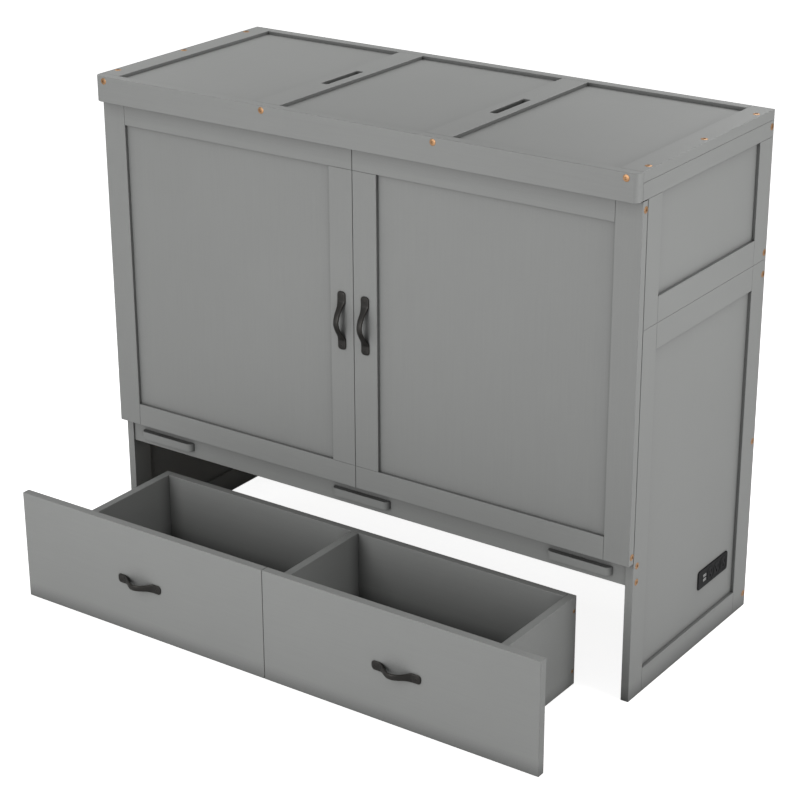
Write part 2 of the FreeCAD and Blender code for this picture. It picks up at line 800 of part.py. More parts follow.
def handles():
    """Two upright handles on the front panel and two level ones on the drawer."""
    upright = []
    level = []
    for side in both_sides:
        handle = bow_handle(door_handle_length)
        handle.rotate(Vector(0, 0, 0), Vector(0, 1, 0), 90)
        handle.translate(Vector(side * door_handle_inset, front_y, door_handle_height))
        upright.append(handle)
        handle = bow_handle(drawer_handle_length)
        handle.translate(Vector(side * drawer_handle_offset, drawer_face_y, drawer_handle_height))
        level.append(handle)
    return {"door_handles": upright, "drawer_handles": level}


# Drawer: two front boards on a box with a divider, carried by bearers on casters.

bottom_bays = [outward(side, box_wall / 2, box_inner) for side in both_sides]
bottom_z = (box_floor, box_floor + bottom_thick)
bottom_y = (box_front_y + box_wall, box_back_y - box_wall)


def bottom_panel(bay):
    """The ranges of a bottom panel, let into the box's walls but not into the divider."""
    x = (bay[0] + groove_clear, bay[1] + tongue_depth)
    if bay[0] < 0:
        x = (bay[0] - tongue_depth, bay[1] - groove_clear)
    return (x, grown(bottom_y, tongue_depth), bottom_z)


def drawer():
    """Front boards, box walls, divider, bottoms and bearers."""
    cutters = [groove(*bottom_panel(bay)) for bay in bottom_bays] + drawer_holes
    box_z = (box_bottom, box_top)
    fronts = [board(outward(side, drawer_front_seam / 2, half_width), (drawer_face_y, box_front_y),
                    (drawer_front_bottom, drawer_front_top)) for side in both_sides]
    sides = [board(outward(side, box_inner, box_half), (box_front_y, box_back_y), box_z)
             for side in both_sides]
    ends = [board((-box_inner, box_inner), y, box_z)
            for y in ((box_front_y, bottom_y[0]), (bottom_y[1], box_back_y))]
    divider = board(around(0, box_wall), bottom_y, (box_floor, box_top))
    bearers = [board((-box_inner, box_inner), around(middle, bearer_width), (caster_top, box_floor))
               for middle in (bearer_front_y, bearer_back_y)]
    return {"drawer_fronts": fronts,
            "drawer_sides": [cut_by(wall, cutters) for wall in sides],
            "drawer_box_ends": [cut_by(wall, cutters) for wall in ends],
            "drawer_divider": [divider],
            "drawer_bottoms": [box(*bottom_panel(bay)) for bay in bottom_bays],
            "drawer_bearers": bearers}


def caster_bracket(x, y):
    """A folded bracket: a plate under the bearer and a cheek on each side of the wheel."""
    inner = wheel_width / 2 + wheel_gap
    outer = inner + bracket_sheet
    plate = box(around(x, 2 * (outer + bracket_flange)), around(y, bracket_length),
                (caster_top - bracket_sheet, caster_top))
    bracket = plate
    for side in both_sides:
        low, high = outward(side, inner, outer)
        cheek = box((x + low, x + high), around(y, bracket_cheek), (wheel_radius, caster_top))
        boss = rod(bracket_cheek / 2, Vector(x + low, y, wheel_radius), Vector(1, 0, 0), bracket_sheet)
        bracket = bracket.fuse(cheek).fuse(boss)
    bore = rod(axle_radius + axle_clear, Vector(x - 2 * outer, y, wheel_radius), Vector(1, 0, 0),
               4 * outer)
    return bracket.cut(bore).removeSplitter().Solids[0]


def caster_wheel(x, y):
    """A plain wheel with a bore for its axle."""
    start = Vector(x - wheel_width / 2, y, wheel_radius)
    blank = rod(wheel_radius, start, Vector(1, 0, 0), wheel_width)
    rims = [edge for edge in blank.Edges if edge.Closed]
    wheel = blank.makeFillet(wheel_ease, rims)
    return wheel.cut(rod(axle_radius + axle_clear, start, Vector(1, 0, 0), wheel_width))


def casters():
    """Four casters, with each wheel in a node of its own."""
    parts = {"caster_brackets": [], "caster_axles": []}
    axle_half = wheel_width / 2 + wheel_gap + 2 * bracket_sheet
    for row, y in (("front", bearer_front_y), ("back", bearer_back_y)):
        for hand, side in (("left", -1), ("right", 1)):
            x = side * caster_x
            parts["caster_brackets"].append(caster_bracket(x, y))
            axle_start = Vector(x - axle_half, y, wheel_radius)
            parts["caster_axles"].append(rod(axle_radius, axle_start, Vector(1, 0, 0), 2 * axle_half))
            parts[f"wheel_{row}_{hand}"] = [caster_wheel(x, y)]
    return parts


# Socket unit: a plate on the right-hand panel, a housing behind it and a cable gland.

socket_y = front_y + socket_middle_y
socket_face_x = half_width - infill_recess


def port_places():
    """Middles of the two charging ports, one above the other."""
    return [(socket_y - port_shift, z) for z in around(socket_middle_z, port_pitch)]


def outlet_cutters(depth):
    """Slots and pin holes of the outlets, through the plate."""
    cutters = []
    x = (socket_face_x - depth, socket_face_x + 2 * socket_plate_thick)
    first = socket_y + outlet_shift - outlet_pitch * (outlet_count - 1) / 2
    for index in range(outlet_count):
        y = first + outlet_pitch * index
        for slot_y in around(y, outlet_slot_gap):
            cutters.append(box(x, around(slot_y, outlet_slot_width),
                               around(socket_middle_z + outlet_slot_height / 2, outlet_slot_height)))
        start = Vector(x[0], y, socket_middle_z - outlet_pin_drop / 2)
        cutters.append(rod(outlet_pin_radius, start, Vector(1, 0, 0), x[1] - x[0]))
    return cutters


def socket_unit():
    """Plate, housing, charging ports and gland."""
    plate_x = (socket_face_x, socket_face_x + socket_plate_thick)
    blank = box(plate_x, around(socket_y, socket_length), around(socket_middle_z, socket_height))
    corners = [edge for edge in blank.Edges if edge.BoundBox.XLength > 0]
    plate = blank.makeFillet(socket_corner, corners)
    rim = [edge for edge in plate.Edges if edge.BoundBox.XMin > plate_x[1] - groove_clear]
    plate = plate.makeChamfer(board_ease, rim)
    housing_x = (socket_face_x - socket_depth, socket_face_x)
    housing = box(housing_x, around(socket_y, socket_length - 2 * socket_rim),
                  around(socket_middle_z, socket_height - 2 * socket_rim))
    windows = []
    ports = []
    port_x = (socket_face_x - port_depth, plate_x[1])
    for y, z in port_places():
        windows.append(box(grown(port_x, groove_clear), around(y, port_width + 2 * groove_clear),
                           around(z, port_height + 2 * groove_clear)))
        shell = box(port_x, around(y, port_width), around(z, port_height))
        mouth = box((port_x[0] + port_wall, port_x[1]), around(y, port_width - 2 * port_wall),
                    around(z, port_height - 2 * port_wall))
        blade = box((port_x[0], port_x[1] - port_wall), around(y, port_width - 4 * port_wall),
                    around(z, port_tongue))
        ports.append(shell.cut(mouth).fuse(blade).removeSplitter().Solids[0])
    gland_start = Vector(housing_x[0], socket_y, socket_middle_z)
    gland = rod(gland_radius, gland_start, Vector(-1, 0, 0), gland_length)
    return {"socket_plate": [cut_by(plate, windows + outlet_cutters(0))],
            "socket_housing": [cut_by(housing, windows + outlet_cutters(port_depth))],
            "charging_ports": ports,
            "cable_gland": [gland]}


# Put the nodes together and write one file for each.

nodes = {}
for group in (cabinet_frames(), cabinet_back(), apron_and_deck(), hinges(), catches(), hood_sides(),
              hood_back(), lid(), front_panel(), handles(), drawer(), casters(), socket_unit()):
    nodes.update(group)
nodes["hood_dowels"] = [dowel(place) for place in dowel_places]
nodes["cabinet_bolts"] = [bolt(*place) for place in cabinet_bolt_places]
nodes["hood_bolts"] = [bolt(*place) for place in hood_bolt_places]
nodes["door_bolts"] = [bolt(*place) for place in door_bolt_places]
nodes["drawer_screws"] = [bolt(*place) for place in drawer_screw_places]

os.makedirs("parts", exist_ok=True)
for name, solids in nodes.items():
    shape = solids[0] if len(solids) == 1 else Part.makeCompound(solids)
    shape.exportStep(f"parts/{name}.step")
print(len(nodes), "nodes,", sum(len(solids) for solids in nodes.values()), "solids")
print("hinge line at y", hinge_y, "z", hinge_z, "and front face at y", front_y)
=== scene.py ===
import math

import bmesh
import bpy
from mathutils import Matrix, Vector


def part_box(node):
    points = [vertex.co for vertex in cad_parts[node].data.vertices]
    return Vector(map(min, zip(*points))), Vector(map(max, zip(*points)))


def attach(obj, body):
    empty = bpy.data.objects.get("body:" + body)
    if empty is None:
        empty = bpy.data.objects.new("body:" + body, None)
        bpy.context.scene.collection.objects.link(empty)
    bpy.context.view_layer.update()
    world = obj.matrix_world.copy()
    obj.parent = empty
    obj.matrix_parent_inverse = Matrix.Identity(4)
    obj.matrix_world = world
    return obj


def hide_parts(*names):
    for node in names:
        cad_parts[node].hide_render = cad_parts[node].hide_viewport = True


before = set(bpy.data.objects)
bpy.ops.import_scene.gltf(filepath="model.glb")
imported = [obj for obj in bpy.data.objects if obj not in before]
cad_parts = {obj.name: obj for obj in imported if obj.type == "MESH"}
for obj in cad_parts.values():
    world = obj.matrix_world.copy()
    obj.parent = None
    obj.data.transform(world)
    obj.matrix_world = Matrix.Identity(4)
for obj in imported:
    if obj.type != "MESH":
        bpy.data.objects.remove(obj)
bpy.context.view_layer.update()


# The photographer's place: in front of the right-hand corner, a head higher than the lid, with
# a long lens.
camera_place = Vector((2.7834, -3.8866, 2.5078))
camera_azimuth = math.radians(35.06)
camera_elevation = math.radians(22.41)
camera_roll = math.radians(-0.23)
lens_length = 98.45
sensor_width = 36

back = Vector((math.sin(camera_azimuth) * math.cos(camera_elevation),
               -math.cos(camera_azimuth) * math.cos(camera_elevation),
               math.sin(camera_elevation)))
level = Vector((math.cos(camera_azimuth), math.sin(camera_azimuth), 0))
upright = back.cross(level)
right = level * math.cos(camera_roll) + upright * math.sin(camera_roll)
up = upright * math.cos(camera_roll) - level * math.sin(camera_roll)
camera_data = bpy.data.cameras.new("photo_camera")
camera_data.lens = lens_length
camera_data.sensor_width = sensor_width
camera = bpy.data.objects.new("photo_camera", camera_data)
camera_turn = Matrix((right, up, back)).transposed().to_4x4()
camera.matrix_world = Matrix.Translation(camera_place) @ camera_turn
bpy.context.scene.collection.objects.link(camera)
bpy.context.scene.camera = camera


# The studio: a faint dome, a pale floor and four soft lamps, set so that each face is as light
# as in the photograph. Nothing in it is part of the bed.
def node(tree, kind, inputs=None, **settings):
    """A node with its settings made, and its inputs set or linked by name or number."""
    made = tree.nodes.new(kind)
    for name, value in settings.items():
        setattr(made, name, value)
    for name, value in (inputs or {}).items():
        if isinstance(value, bpy.types.NodeSocket):
            tree.links.new(value, made.inputs[name])
        else:
            made.inputs[name].default_value = value
    return made


def reckon(tree, operation, first, second):
    """The outcome of a sum on two values, each a number or a socket."""
    return node(tree, "ShaderNodeMath", {0: first, 1: second}, operation=operation).outputs[0]


def soft_lamp(name, place, target, size, power):
    """A square lamp that faces its target."""
    data = bpy.data.lights.new(name, "AREA")
    data.size = size
    data.energy = power
    lamp = bpy.data.objects.new(name, data)
    lamp.location = place
    lamp.rotation_mode = "QUATERNION"
    lamp.rotation_quaternion = (Vector(target) - Vector(place)).to_track_quat("-Z", "Y")
    bpy.context.scene.collection.objects.link(lamp)


soft_lamp("front_lamp", place=(-0.5, -3.5, 1.4), target=(0, 0, 0.6), size=2.0, power=61)
soft_lamp("side_lamp", place=(2.2, 0.1, 1.3), target=(0.7, 0.2, 1.0), size=1.0, power=16)
soft_lamp("left_lamp", place=(-1.4, 0.2, 2.6), target=(0, 0, 0.9), size=1.6, power=14)
soft_lamp("back_lamp", place=(0.5, 2.0, 3.0), target=(0, 0, 0.8), size=2.0, power=40)

white = (1.0, 1.0, 1.0, 1.0)
dome_light = 0.22
background_white = 1.0
dome = bpy.data.worlds.new("dome")
dome.use_nodes = True
dome_tree = dome.node_tree
seen_straight = node(dome_tree, "ShaderNodeLightPath").outputs["Is Camera Ray"]
brightness = node(dome_tree, "ShaderNodeMapRange",
                  {"Value": seen_straight, "To Min": dome_light, "To Max": background_white})
dome_tree.nodes["Background"].inputs["Color"].default_value = white
dome_tree.links.new(brightness.outputs["Result"], dome_tree.nodes["Background"].inputs["Strength"])
bpy.context.scene.world = dome
bpy.context.scene.view_settings.view_transform = "Standard"

floor_reach = 40.0
floor_pale = (0.8, 0.8, 0.8, 1.0)
floor_roughness = 0.9
glow_near = 0.9
glow_far = 1.0
glow_start = 1.0
glow_end = 2.6
floor_mesh = bpy.data.meshes.new("studio_floor")
floor_mesh.from_pydata([(-floor_reach, -floor_reach, 0), (floor_reach, -floor_reach, 0),
                        (floor_reach, floor_reach, 0), (-floor_reach, floor_reach, 0)],
                       [], [(0, 1, 2, 3)])
studio_floor = bpy.data.objects.new("studio_floor", floor_mesh)
bpy.context.scene.collection.objects.link(studio_floor)
floor_paper = bpy.data.materials.new("floor_paper")
floor_paper.use_nodes = True
paper_tree = floor_paper.node_tree
paper = paper_tree.nodes["Principled BSDF"]
paper.inputs["Base Color"].default_value = floor_pale
paper.inputs["Roughness"].default_value = floor_roughness
paper.inputs["Emission Color"].default_value = white
floor_place = node(paper_tree, "ShaderNodeTexCoord").outputs["Object"]
away = node(paper_tree, "ShaderNodeVectorMath", {0: floor_place}, operation="LENGTH")
glow = node(paper_tree, "ShaderNodeMapRange",
            {"Value": away.outputs["Value"], "From Min": glow_start, "From Max": glow_end,
             "To Min": glow_near, "To Max": glow_far}).outputs["Result"]
seen_floor = node(paper_tree, "ShaderNodeLightPath").outputs["Is Camera Ray"]
seen_glow = reckon(paper_tree, "MULTIPLY", glow, seen_floor)
paper_tree.links.new(seen_glow, paper.inputs["Emission Strength"])
floor_mesh.materials.append(floor_paper)


# Side frames: pine stiles and rails round thin panels, sprayed in satin grey once they are
# joined. The paint shows faint lines of grain and brush along each board.
mm = 0.001
paint_grey = (0.306, 0.311, 0.305)
paint_cloud = 0.035
painted_shade_depth = 0.9
painted_shade_reach = 45 * mm
arris_radius = 1.2 * mm


def opaque(colour, share=1.0):
    """A colour with full cover, made lighter or darker by a share."""
    return tuple(part * share for part in colour) + (1.0,)


def new_finish(name):
    """An empty material, its tree, its shader and the place on the piece in metres."""
    material = bpy.data.materials.new(name)
    material.use_nodes = True
    tree = material.node_tree
    shader = tree.nodes["Principled BSDF"]
    place = node(tree, "ShaderNodeTexCoord").outputs["Object"]
    return material, tree, shader, place


def colour_mix(tree, factor, low, high):
    """Goes from one colour to the other with the factor."""
    return node(tree, "ShaderNodeMix", {0: factor, 6: low, 7: high}, data_type="RGBA").outputs[2]


def drawn_out(tree, place, stretch):
    """A place whose pattern is drawn out along an axis by a small stretch there."""
    return node(tree, "ShaderNodeMapping", {"Vector": place, "Scale": stretch}).outputs["Vector"]


def noise(tree, place, scale, detail=2.0, stretch=(1, 1, 1)):
    """Cloudy noise, plain or drawn out along an axis."""
    return node(tree, "ShaderNodeTexNoise",
                {"Vector": drawn_out(tree, place, stretch), "Scale": scale, "Detail": detail}
                ).outputs["Fac"]


def spread(tree, value, low, high, start=0.0, end=1.0):
    """Takes the part of a value from start to end to the range from low to high."""
    return node(tree, "ShaderNodeMapRange", {"Value": value, "From Min": start, "From Max": end,
                                             "To Min": low, "To Max": high}).outputs["Result"]


def bump(tree, height, depth, strength, base=None):
    """Raises the surface by a height of 0 to 1 times the depth."""
    inputs = {"Height": height, "Distance": depth, "Strength": strength}
    if base is not None:
        inputs["Normal"] = base
    return node(tree, "ShaderNodeBump", inputs).outputs["Normal"]


def rounded_edges(tree, radius):
    """The way that the surface faces, rounded off along its edges."""
    return node(tree, "ShaderNodeBevel", {"Radius": radius}, samples=4).outputs["Normal"]


def painted_crease_shade(tree, reach, dark, colour):
    """Paints shade: goes to a dark colour where something nearer than the reach closes the surface
    in.
    """
    openness = node(tree, "ShaderNodeAmbientOcclusion", {"Distance": reach}, samples=6)
    return colour_mix(tree, openness.outputs["AO"], dark, colour)


def along_axis(axis, share):
    """A stretch that draws a pattern out along X, Y or Z."""
    return tuple(share if name == axis else 1.0 for name in "xyz")


def grey_paint(axis):
    """Satin grey paint on boards along one axis, with painted shade in joints and under overhangs.
    """
    material, tree, shader, place = new_finish("grey_paint_" + axis)
    clouds = noise(tree, place, scale=2.6, detail=3.0)
    lines = noise(tree, place, scale=260.0, detail=4.0, stretch=along_axis(axis, 0.025))
    peel = noise(tree, place, scale=700.0)
    both = reckon(tree, "ADD", clouds, lines)
    mottle = spread(tree, both, low=0.0, high=1.0, start=0.6, end=1.4)
    grey = colour_mix(tree, mottle, opaque(paint_grey, 1 - paint_cloud),
                      opaque(paint_grey, 1 + paint_cloud))
    # Painted shade: the grey darkens where nearby surfaces close it in, as in joints, recesses and
    # under the fascia.
    grey = painted_crease_shade(tree, painted_shade_reach, opaque(paint_grey, 1 - painted_shade_depth), grey)
    tree.links.new(grey, shader.inputs["Base Color"])
    tree.links.new(spread(tree, lines, low=0.42, high=0.58), shader.inputs["Roughness"])
    rounded = rounded_edges(tree, arris_radius)
    grain = bump(tree, lines, depth=0.1 * mm, strength=0.25, base=rounded)
    peeled = bump(tree, peel, depth=0.05 * mm, strength=0.2, base=grain)
    tree.links.new(peeled, shader.inputs["Normal"])
    return material


paint = {axis: grey_paint(axis) for axis in "xyz"}


def finish_nodes(material, *names):
    """Gives solids of the frame their finish."""
    for name in names:
        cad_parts[name].material_slots[0].material = material


finish_nodes(paint["z"], "side_front_stiles", "side_back_stiles", "side_panel_left",
             "side_panel_right")
finish_nodes(paint["y"], "side_rails")


# Back: three pine rails and two mullions, painted like the sides, with thin panels in their
# grooves. Bolts through the back stiles hold the ends of the rails.
finish_nodes(paint["x"], "back_rails")
finish_nodes(paint["z"], "back_mullions", "back_panels")


# Apron: the painted board under the front panel, bolted between the side frames. Three
# round-cornered blocks are screwed to its face, and the folded front panel comes down on them.
finish_nodes(paint["x"], "apron", "support_blocks")


# Deck: ten bare pine slats, screwed down on two pine ledgers. The slats are planed with rounded
# edges, and each has its own piece of grain.
pine_light = (0.72, 0.53, 0.32)
pine_dark = (0.55, 0.34, 0.16)
knot_brown = (0.23, 0.11, 0.05)


def vector(tree, **parts):
    """A vector from its X, Y and Z, each a number or a socket, and 0 if it isn't given."""
    return node(tree, "ShaderNodeCombineXYZ", parts).outputs["Vector"]


def bare_pine(axis):
    """Planed pine, with its rings and knots drawn out along the board."""
    material, tree, shader, place = new_finish("bare_pine_" + axis)
    seed = node(tree, "ShaderNodeAttribute", attribute_name="grain_seed").outputs["Fac"]
    apart = vector(tree, X=seed, Y=seed, Z=seed)
    own_place = node(tree, "ShaderNodeVectorMath", {0: place, 1: apart}).outputs["Vector"]
    rings = node(tree, "ShaderNodeTexWave",
                 {"Vector": drawn_out(tree, own_place, along_axis(axis, 0.06)), "Scale": 22.0,
                  "Distortion": 5.0, "Detail": 3.0, "Detail Scale": 1.4},
                 wave_type="BANDS", bands_direction="DIAGONAL").outputs["Fac"]
    fibres = noise(tree, own_place, scale=420.0, detail=4.0, stretch=along_axis(axis, 0.02))
    ringed = spread(tree, rings, low=0.0, high=0.75)
    wood = colour_mix(tree, ringed, opaque(pine_light), opaque(pine_dark))
    streaks = spread(tree, fibres, low=0.0, high=0.35, start=0.35, end=0.75)
    wood = colour_mix(tree, streaks, wood, opaque(pine_dark))
    cells = node(tree, "ShaderNodeTexVoronoi",
                 {"Vector": drawn_out(tree, own_place, along_axis(axis, 0.45)), "Scale": 7.5})
    knots = spread(tree, cells.outputs["Distance"], low=0.85, high=0.0, start=0.03, end=0.11)
    wood = colour_mix(tree, knots, wood, opaque(knot_brown))
    tree.links.new(wood, shader.inputs["Base Color"])
    tree.links.new(spread(tree, fibres, low=0.5, high=0.72), shader.inputs["Roughness"])
    grain = bump(tree, fibres, depth=0.15 * mm, strength=0.35)
    tree.links.new(grain, shader.inputs["Normal"])
    return material


pine = {axis: bare_pine(axis) for axis in "xy"}
finish_nodes(pine["x"], "deck_ledgers")

board_thick = 20 * mm
half_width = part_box("side_rails")[1].x
side_inner = half_width - board_thick
slat_low, slat_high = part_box("deck_slats")
slat_count = 10
slat_width = 95 * mm
slat_edge = 3 * mm
grain_seed = 4
grain_seed_range = 40.0
slat_pitch = 2 * side_inner / slat_count
deck_height = slat_high.z


def new_tree(name, sockets):
    """A geometry tree with its named inputs; gives the tree and its way in."""
    tree = bpy.data.node_groups.new(name, "GeometryNodeTree")
    tree.interface.new_socket(name="Geometry", in_out="INPUT", socket_type="NodeSocketGeometry")
    for label, kind in sockets.items():
        tree.interface.new_socket(name=label, in_out="INPUT", socket_type="NodeSocket" + kind)
    tree.interface.new_socket(name="Geometry", in_out="OUTPUT", socket_type="NodeSocketGeometry")
    return tree, tree.nodes.new("NodeGroupInput").outputs


def end_tree(tree, geometry):
    """Hands the tree's geometry out."""
    tree.links.new(geometry, tree.nodes.new("NodeGroupOutput").inputs["Geometry"])


def real_with_finish(tree, instances, material):
    """Makes instances real and gives them their material."""
    real = node(tree, "GeometryNodeRealizeInstances", {"Geometry": instances}).outputs["Geometry"]
    return node(tree, "GeometryNodeSetMaterial", {"Geometry": real, "Material": material}
                ).outputs["Geometry"]


def grown(name, seed_mesh, tree, values):
    """Runs a tree on a seed mesh and keeps what it makes as a plain mesh."""
    piece = bpy.data.objects.new(name, seed_mesh)
    bpy.context.scene.collection.objects.link(piece)
    modifier = piece.modifiers.new("grown", "NODES")
    modifier.node_group = tree
    for socket in tree.interface.items_tree:
        if socket.in_out == "INPUT" and socket.name in values:
            modifier[socket.identifier] = values[socket.name]
    made = piece.evaluated_get(bpy.context.evaluated_depsgraph_get())
    plain = bpy.data.meshes.new_from_object(made)
    piece.modifiers.clear()
    piece.data = plain
    return piece


def slat_row_tree():
    """A row of round-edged boards along X, each with its own grain seed."""
    tree, given = new_tree("slat_row", {"Count": "Int", "First": "Vector", "Pitch": "Float",
                                        "Width": "Float", "Thickness": "Float", "Length": "Float",
                                        "Edge": "Float", "Seed": "Int", "Wood": "Material"})
    start = vector(tree, Y=reckon(tree, "MULTIPLY", given["Length"], -0.5))
    end = vector(tree, Y=reckon(tree, "MULTIPLY", given["Length"], 0.5))
    spine = node(tree, "GeometryNodeCurvePrimitiveLine", {"Start": start, "End": end})
    spine = node(tree, "GeometryNodeSetCurveNormal", {"Curve": spine.outputs["Curve"]},
                 mode="Z_UP")
    section = node(tree, "GeometryNodeCurvePrimitiveQuadrilateral",
                   {"Width": given["Width"], "Height": given["Thickness"]})
    section = node(tree, "GeometryNodeFilletCurve",
                   {"Curve": section.outputs["Curve"], "Radius": given["Edge"], "Count": 3},
                   mode="POLY")
    slat = node(tree, "GeometryNodeCurveToMesh",
                {"Curve": spine.outputs["Curve"], "Profile Curve": section.outputs["Curve"],
                 "Fill Caps": True})
    places = node(tree, "GeometryNodeMeshLine",
                  {"Count": given["Count"], "Start Location": given["First"],
                   "Offset": vector(tree, X=given["Pitch"])})
    slats = node(tree, "GeometryNodeInstanceOnPoints",
                 {"Points": places.outputs["Mesh"], "Instance": slat.outputs["Mesh"]})
    seed = node(tree, "FunctionNodeRandomValue",
                {"Max": grain_seed_range, "Seed": given["Seed"]})
    seeded = node(tree, "GeometryNodeStoreNamedAttribute",
                  {"Geometry": slats.outputs["Instances"], "Name": "grain_seed",
                   "Value": seed.outputs[1]}, domain="INSTANCE")
    end_tree(tree, real_with_finish(tree, seeded.outputs["Geometry"], given["Wood"]))
    return tree


first_slat = (-side_inner + slat_pitch / 2, (slat_low.y + slat_high.y) / 2,
              (slat_low.z + slat_high.z) / 2)
slats = grown("slat_row", bpy.data.meshes.new("slat_row"), slat_row_tree(),
              {"Count": slat_count, "First": first_slat, "Pitch": slat_pitch, "Width": slat_width,
               "Thickness": slat_high.z - slat_low.z, "Length": slat_high.y - slat_low.y,
               "Edge": slat_edge, "Seed": grain_seed, "Wood": pine["y"]})
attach(slats, "cabinet")
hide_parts("deck_slats")


# Small screws: zinc-plated, with a cross recess, set almost flush. Two hold each end of a slat,
# and others hold the hinges, plates, catches and casters.
zinc_grey = (0.60, 0.60, 0.58)


def zinc_steel():
    """Zinc-plated steel, cloudy and a little scuffed."""
    material, tree, shader, place = new_finish("zinc_steel")
    shader.inputs["Metallic"].default_value = 1.0
    spangle = noise(tree, place, scale=90.0, detail=3.0)
    tint = colour_mix(tree, spangle, opaque(zinc_grey, 0.82), opaque(zinc_grey, 1.12))
    tree.links.new(tint, shader.inputs["Base Color"])
    scuffs = noise(tree, place, scale=300.0, detail=4.0, stretch=(1.0, 0.2, 0.6))
    tree.links.new(spread(tree, scuffs, low=0.28, high=0.52), shader.inputs["Roughness"])
    scratched = bump(tree, scuffs, depth=0.05 * mm, strength=0.25)
    tree.links.new(scratched, shader.inputs["Normal"])
    return material


zinc = zinc_steel()
cross_bar_width = 0.42
sharp_bend = 0.5


def fastener_tree(name, recess_sides):
    """A domed head with a recess at each point, turned at random; 0 sides makes a cross."""
    tree, given = new_tree(name, {"Radius": "Float", "Height": "Float", "Recess": "Float",
                                  "Recess Depth": "Float", "Seed": "Int", "Metal": "Material"})
    ball = node(tree, "GeometryNodeMeshUVSphere", {"Segments": 24, "Rings": 12, "Radius": 1.0})
    size = vector(tree, X=given["Radius"], Y=given["Radius"], Z=given["Height"])
    domed = node(tree, "GeometryNodeTransform", {"Geometry": ball.outputs["Mesh"], "Scale": size})
    deep = reckon(tree, "MULTIPLY", given["Recess Depth"], 2.0)
    top = vector(tree, Z=given["Height"])
    if recess_sides:
        cutter = node(tree, "GeometryNodeMeshCylinder",
                      {"Vertices": recess_sides, "Radius": given["Recess"], "Depth": deep})
        cutters = [cutter.outputs["Mesh"]]
    else:
        long = reckon(tree, "MULTIPLY", given["Recess"], 2.0)
        thin = reckon(tree, "MULTIPLY", given["Recess"], cross_bar_width)
        bars = [vector(tree, X=x, Y=y, Z=deep) for x, y in ((long, thin), (thin, long))]
        cutters = [node(tree, "GeometryNodeMeshCube", {"Size": bar}).outputs["Mesh"]
                   for bar in bars]
    cut = domed.outputs["Geometry"]
    for cutter in cutters:
        raised = node(tree, "GeometryNodeTransform", {"Geometry": cutter, "Translation": top})
        hollow = node(tree, "GeometryNodeMeshBoolean", operation="DIFFERENCE")
        tree.links.new(cut, hollow.inputs["Mesh 1"])
        tree.links.new(raised.outputs["Geometry"], hollow.inputs["Mesh 2"])
        cut = hollow.outputs["Mesh"]
    smooth = node(tree, "GeometryNodeSetShadeSmooth", {"Geometry": cut, "Shade Smooth": True})
    bend = node(tree, "GeometryNodeInputMeshEdgeAngle").outputs["Unsigned Angle"]
    sharp = node(tree, "FunctionNodeCompare", {0: bend, 1: sharp_bend},
                 operation="GREATER_THAN")
    crisp = node(tree, "GeometryNodeSetShadeSmooth",
                 {"Geometry": smooth.outputs["Geometry"], "Selection": sharp.outputs[0],
                  "Shade Smooth": False}, domain="EDGE")
    way = node(tree, "GeometryNodeInputNamedAttribute", {"Name": "facing"},
               data_type="FLOAT_VECTOR").outputs["Attribute"]
    turn = node(tree, "FunctionNodeAlignRotationToVector", {"Vector": way}, axis="Z")
    spin = node(tree, "FunctionNodeRandomValue", {"Max": math.pi, "Seed": given["Seed"]})
    spin = node(tree, "FunctionNodeAxisAngleToRotation", {"Angle": spin.outputs[1]})
    turned = node(tree, "FunctionNodeRotateRotation",
                  {"Rotation": turn.outputs["Rotation"], "Rotate By": spin.outputs["Rotation"]},
                  rotation_space="LOCAL")
    heads = node(tree, "GeometryNodeInstanceOnPoints",
                 {"Points": given["Geometry"], "Instance": crisp.outputs["Geometry"],
                  "Rotation": turned.outputs["Rotation"]})
    end_tree(tree, real_with_finish(tree, heads.outputs["Instances"], given["Metal"]))
    return tree


cross_heads = fastener_tree("cross_heads", recess_sides=0)
screw_radius = 3.2 * mm
screw_height = 0.5 * mm
cross_share = 0.55
cross_depth_share = 0.9


def seed_points(name, places):
    """A bare mesh of points, each with the way that its fastener faces."""
    mesh = bpy.data.meshes.new(name)
    mesh.from_pydata([point for point, way in places], [], [])
    facing = mesh.attributes.new("facing", "FLOAT_VECTOR", "POINT")
    for index, (point, way) in enumerate(places):
        facing.data[index].vector = way
    return mesh


def small_screws(name, body, places, height=screw_height, radius=screw_radius, metal=zinc):
    """Cross-headed screws that ride on a body."""
    screws = grown(name, seed_points(name, places), cross_heads,
                   {"Radius": radius, "Height": height, "Recess": radius * cross_share,
                    "Recess Depth": height * cross_depth_share, "Seed": len(places),
                    "Metal": metal})
    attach(screws, body)


both_sides = (-1, 1)
upwards = (0, 0, 1)
backwards = (0, 1, 0)
slat_screw_inset = 11 * mm
slat_screw_spacing = 56 * mm
slat_screw_places = []
for index in range(slat_count):
    for side in both_sides:
        x = first_slat[0] + index * slat_pitch + side * slat_screw_spacing / 2
        for y in (slat_low.y + slat_screw_inset, slat_high.y - slat_screw_inset):
            slat_screw_places.append(((x, y, deck_height), upwards))
small_screws("slat_screws", "cabinet", slat_screw_places)


# Hinges: three steel butt hinges join the front panel's lower edge to the top of the apron, one
# over each block, with three screws through each leaf.
finish_nodes(zinc, "apron_hinge_leaves", "panel_hinge_leaves", "hinge_pins")

